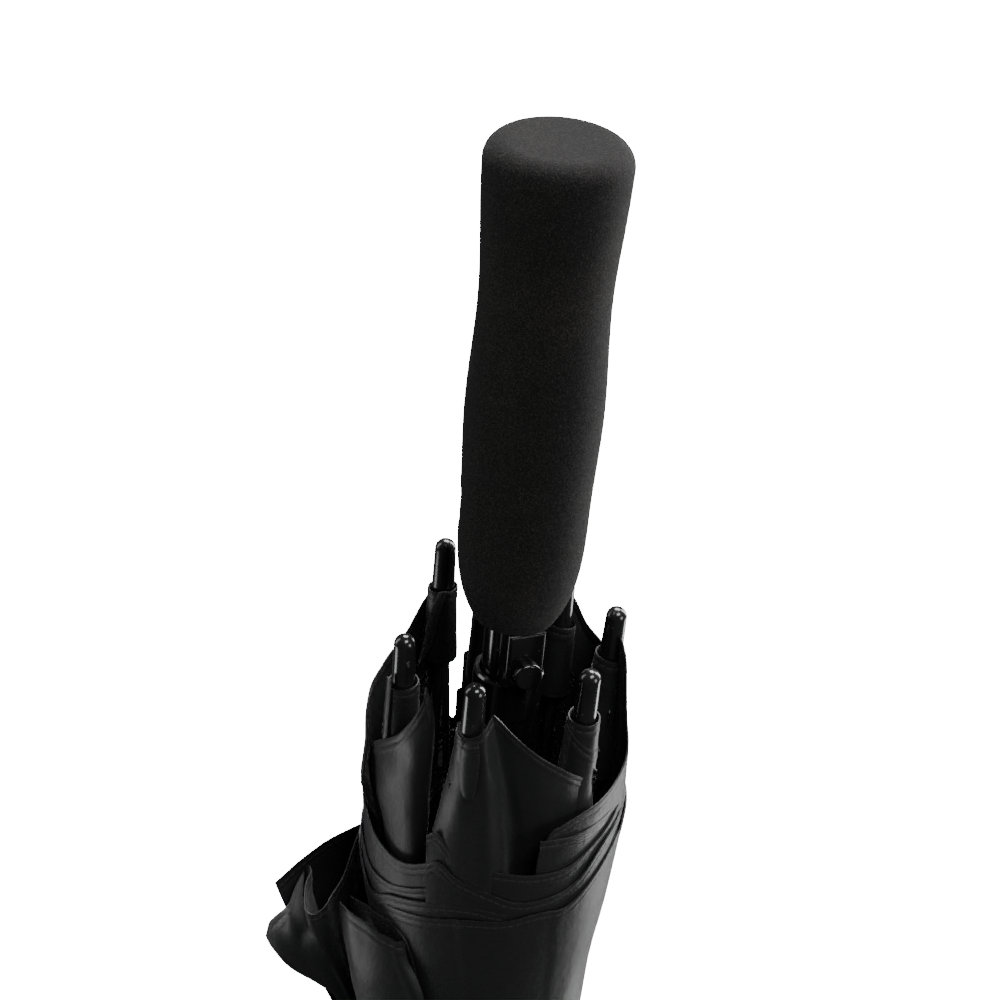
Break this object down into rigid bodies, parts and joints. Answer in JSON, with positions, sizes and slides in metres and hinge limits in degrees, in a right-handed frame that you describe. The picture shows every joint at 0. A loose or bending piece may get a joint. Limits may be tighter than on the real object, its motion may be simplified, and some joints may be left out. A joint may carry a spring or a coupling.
{
  "type": "golf umbrella",
  "caption": "Black golf umbrella, furled with loose pleats, with a straight foam grip, glossy shaft, push button and bullet-shaped rib tips; it opens on a sliding runner.",
  "frame": {"origin": "centre of the ferrule's flat end, on the shaft's axis", "axes": "+Z along the shaft towards the grip; the push button faces mostly -Y; +X to the right of it"},
  "size_m": [0.1115, 0.081, 0.984],
  "materials": {
    "canopy_fabric": "satin polyester weave",
    "rib_tip_plastic": "gloss",
    "rib_fibreglass": "satin pultruded fibreglass",
    "stretcher_steel": "black lacquer",
    "grip_foam": "matte speckled foam",
    "gloss_black_plastic": "gloss",
    "shaft_lacquer": "gloss lacquered fibreglass",
    "plain_steel": "drawn wire",
    "washer_rubber": "matte"
  },
  "bodies": {
    "root": {"button_housing": "gloss_black_plastic", "button_spring": "plain_steel", "canopy_washer": "washer_rubber", "crown": "gloss_black_plastic", "crown_cap": "gloss_black_plastic", "crown_wire": "plain_steel", "ferrule": "gloss_black_plastic", "grip_core": "gloss_black_plastic", "grip_foam": "grip_foam", "runner_stop": "gloss_black_plastic", "shaft": "shaft_lacquer"},
    "runner": {"runner": "gloss_black_plastic", "runner_collar": "gloss_black_plastic", "runner_wire": "plain_steel", "opening_spring": "plain_steel"},
    "button": {"push_button": "gloss_black_plastic", "latch_pawl": "gloss_black_plastic"},
    "rib_1": {"rib_1": "rib_fibreglass", "rib_tip_1": "rib_tip_plastic"},
    "rib_2": {"rib_2": "rib_fibreglass", "rib_tip_2": "rib_tip_plastic", "tie_strap": "canopy_fabric", "strap_snap": "plain_steel"},
    "rib_3": {"rib_3": "rib_fibreglass", "rib_tip_3": "rib_tip_plastic"},
    "rib_4": {"rib_4": "rib_fibreglass", "rib_tip_4": "rib_tip_plastic"},
    "rib_5": {"rib_5": "rib_fibreglass", "rib_tip_5": "rib_tip_plastic"},
    "rib_6": {"rib_6": "rib_fibreglass", "rib_tip_6": "rib_tip_plastic"},
    "rib_7": {"rib_7": "rib_fibreglass", "rib_tip_7": "rib_tip_plastic"},
    "rib_8": {"rib_8": "rib_fibreglass", "rib_tip_8": "rib_tip_plastic"},
    "stretcher_1": {"stretcher_1": "stretcher_steel"},
    "stretcher_2": {"stretcher_2": "stretcher_steel"},
    "stretcher_3": {"stretcher_3": "stretcher_steel"},
    "stretcher_4": {"stretcher_4": "stretcher_steel"},
    "stretcher_5": {"stretcher_5": "stretcher_steel"},
    "stretcher_6": {"stretcher_6": "stretcher_steel"},
    "stretcher_7": {"stretcher_7": "stretcher_steel"},
    "stretcher_8": {"stretcher_8": "stretcher_steel"},
    "gore_1": {"canopy_gore_1": "canopy_fabric"},
    "gore_2": {"canopy_gore_2": "canopy_fabric"},
    "gore_3": {"canopy_gore_3": "canopy_fabric"},
    "gore_4": {"canopy_gore_4": "canopy_fabric"},
    "gore_5": {"canopy_gore_5": "canopy_fabric"},
    "gore_6": {"canopy_gore_6": "canopy_fabric"},
    "gore_7": {"canopy_gore_7": "canopy_fabric"},
    "gore_8": {"canopy_gore_8": "canopy_fabric"}
  },
  "joints": [
    {"name": "runner_slide", "type": "slide", "parent": "root", "child": "runner", "axis": [0, 0, -1], "range_m": [0, 0.3745], "deforming": ["opening_spring"]},
    {"name": "button_press", "type": "slide", "parent": "root", "child": "button", "axis": [-0.4226, 0.9063, 0], "range_m": [0, 0.0025], "stiffness_N_per_m": 900, "springref_m": -0.0015, "deforming": ["button_spring"]},
    {"name": "rib_1_hinge", "type": "hinge", "parent": "root", "child": "rib_1", "pos_m": [-0.00309, -0.00951, 0.075], "axis": [0.9502, -0.3117, 0], "range_deg": [0, 61.79]},
    {"name": "rib_2_hinge", "type": "hinge", "parent": "root", "child": "rib_2", "pos_m": [0.00454, -0.00891, 0.075], "axis": [0.8995, 0.4368, 0], "range_deg": [0, 62.18], "deforming": ["tie_strap"]},
    {"name": "rib_3_hinge", "type": "hinge", "parent": "root", "child": "rib_3", "pos_m": [0.00951, -0.00309, 0.075], "axis": [0.3405, 0.9403, 0], "range_deg": [0, 62.47]},
    {"name": "rib_4_hinge", "type": "hinge", "parent": "root", "child": "rib_4", "pos_m": [0.00891, 0.00454, 0.075], "axis": [-0.4274, 0.904, 0], "range_deg": [0, 62.41]},
    {"name": "rib_5_hinge", "type": "hinge", "parent": "root", "child": "rib_5", "pos_m": [0.00309, 0.00951, 0.075], "axis": [-0.9477, 0.319, 0], "range_deg": [0, 61.97]},
    {"name": "rib_6_hinge", "type": "hinge", "parent": "root", "child": "rib_6", "pos_m": [-0.00454, 0.00891, 0.075], "axis": [-0.886, -0.4638, 0], "range_deg": [0, 61.98]},
    {"name": "rib_7_hinge", "type": "hinge", "parent": "root", "child": "rib_7", "pos_m": [-0.00951, 0.00309, 0.075], "axis": [-0.2834, -0.959, 0], "range_deg": [0, 62.17]},
    {"name": "rib_8_hinge", "type": "hinge", "parent": "root", "child": "rib_8", "pos_m": [-0.00891, -0.00454, 0.075], "axis": [0.4593, -0.8883, 0], "range_deg": [0, 61.87]},
    {"name": "stretcher_1_hinge", "type": "hinge", "parent": "runner", "child": "stretcher_1", "pos_m": [-0.00309, -0.00951, 0.755], "axis": [-0.9477, 0.3189, 0.012], "range_deg": [0, 61.71]},
    {"name": "stretcher_2_hinge", "type": "hinge", "parent": "runner", "child": "stretcher_2", "pos_m": [0.00454, -0.00891, 0.755], "axis": [-0.8989, -0.4382, -0.0023], "range_deg": [0, 62.16]},
    {"name": "stretcher_3_hinge", "type": "hinge", "parent": "runner", "child": "stretcher_3", "pos_m": [0.00951, -0.00309, 0.755], "axis": [-0.3317, -0.9433, -0.0147], "range_deg": [0, 62.44]},
    {"name": "stretcher_4_hinge", "type": "hinge", "parent": "runner", "child": "stretcher_4", "pos_m": [0.00891, 0.00454, 0.755], "axis": [0.4339, -0.9009, -0.0115], "range_deg": [0, 62.39]},
    {"name": "stretcher_5_hinge", "type": "hinge", "parent": "runner", "child": "stretcher_5", "pos_m": [0.00309, 0.00951, 0.755], "axis": [0.9467, -0.3222, 0.0052], "range_deg": [0, 61.93]},
    {"name": "stretcher_6_hinge", "type": "hinge", "parent": "runner", "child": "stretcher_6", "pos_m": [-0.00454, 0.00891, 0.755], "axis": [0.8845, 0.4665, -0.0049], "range_deg": [0, 61.94]},
    {"name": "stretcher_7_hinge", "type": "hinge", "parent": "runner", "child": "stretcher_7", "pos_m": [-0.00951, 0.00309, 0.755], "axis": [0.2889, 0.9573, 0.0091], "range_deg": [0, 62.14]},
    {"name": "stretcher_8_hinge", "type": "hinge", "parent": "runner", "child": "stretcher_8", "pos_m": [-0.00891, -0.00454, 0.755], "axis": [-0.4645, 0.8855, -0.0093], "range_deg": [0, 61.81]},
    {"name": "gore_1_spread", "type": "hinge", "parent": "rib_1", "child": "gore_1", "pos_m": [0.00073, -0.01076, 0.075], "axis": [-0.0507, 0.8723, -0.4864], "range_deg": [0, 44.56], "deforming": ["canopy_gore_1"]},
    {"name": "gore_2_spread", "type": "hinge", "parent": "rib_2", "child": "gore_2", "pos_m": [0.00801, -0.00722, 0.075], "axis": [-0.6443, 0.5883, -0.4887], "range_deg": [0, 44.9], "deforming": ["canopy_gore_2"]},
    {"name": "gore_3_spread", "type": "hinge", "parent": "rib_3", "child": "gore_3", "pos_m": [0.01081, 0.00051, 0.075], "axis": [-0.8717, -0.0424, -0.4882], "range_deg": [0, 45.97], "deforming": ["canopy_gore_3"]},
    {"name": "gore_4_spread", "type": "hinge", "parent": "rib_4", "child": "gore_4", "pos_m": [0.00722, 0.00812, 0.075], "axis": [-0.5745, -0.6592, -0.4852], "range_deg": [0, 46.66], "deforming": ["canopy_gore_4"]},
    {"name": "gore_5_spread", "type": "hinge", "parent": "rib_5", "child": "gore_5", "pos_m": [-0.00085, 0.01084, 0.075], "axis": [0.0688, -0.8727, -0.4834], "range_deg": [0, 46.65], "deforming": ["canopy_gore_5"]},
    {"name": "gore_6_spread", "type": "hinge", "parent": "rib_6", "child": "gore_6", "pos_m": [-0.00839, 0.0069, 0.075], "axis": [0.6733, -0.5584, -0.4846], "range_deg": [0, 46.4], "deforming": ["canopy_gore_6"]},
    {"name": "gore_7_spread", "type": "hinge", "parent": "rib_7", "child": "gore_7", "pos_m": [-0.01073, -0.00103, 0.075], "axis": [0.8688, 0.0891, -0.487], "range_deg": [0, 44.32], "deforming": ["canopy_gore_7"]},
    {"name": "gore_8_spread", "type": "hinge", "parent": "rib_8", "child": "gore_8", "pos_m": [-0.007, -0.00823, 0.075], "axis": [0.5658, 0.6671, -0.4847], "range_deg": [0, 44.87], "deforming": ["canopy_gore_8"]}
  ],
  "couplings": [
    {"joint": "rib_1_hinge", "follows": "runner_slide", "rad_per_m": 2.8792},
    {"joint": "rib_2_hinge", "follows": "runner_slide", "rad_per_m": 2.8975},
    {"joint": "rib_3_hinge", "follows": "runner_slide", "rad_per_m": 2.9109},
    {"joint": "rib_4_hinge", "follows": "runner_slide", "rad_per_m": 2.9079},
    {"joint": "rib_5_hinge", "follows": "runner_slide", "rad_per_m": 2.8878},
    {"joint": "rib_6_hinge", "follows": "runner_slide", "rad_per_m": 2.888},
    {"joint": "rib_7_hinge", "follows": "runner_slide", "rad_per_m": 2.8968},
    {"joint": "rib_8_hinge", "follows": "runner_slide", "rad_per_m": 2.8829},
    {"joint": "stretcher_1_hinge", "follows": "runner_slide", "rad_per_m": 2.8756},
    {"joint": "stretcher_2_hinge", "follows": "runner_slide", "rad_per_m": 2.8966},
    {"joint": "stretcher_3_hinge", "follows": "runner_slide", "rad_per_m": 2.9095},
    {"joint": "stretcher_4_hinge", "follows": "runner_slide", "rad_per_m": 2.907},
    {"joint": "stretcher_5_hinge", "follows": "runner_slide", "rad_per_m": 2.8859},
    {"joint": "stretcher_6_hinge", "follows": "runner_slide", "rad_per_m": 2.8862},
    {"joint": "stretcher_7_hinge", "follows": "runner_slide", "rad_per_m": 2.8954},
    {"joint": "stretcher_8_hinge", "follows": "runner_slide", "rad_per_m": 2.8801},
    {"joint": "gore_1_spread", "follows": "runner_slide", "rad_per_m": 2.076},
    {"joint": "gore_2_spread", "follows": "runner_slide", "rad_per_m": 2.0922},
    {"joint": "gore_3_spread", "follows": "runner_slide", "rad_per_m": 2.1419},
    {"joint": "gore_4_spread", "follows": "runner_slide", "rad_per_m": 2.1741},
    {"joint": "gore_5_spread", "follows": "runner_slide", "rad_per_m": 2.1737},
    {"joint": "gore_6_spread", "follows": "runner_slide", "rad_per_m": 2.162},
    {"joint": "gore_7_spread", "follows": "runner_slide", "rad_per_m": 2.0651},
    {"joint": "gore_8_spread", "follows": "runner_slide", "rad_per_m": 2.0908}
  ]
}
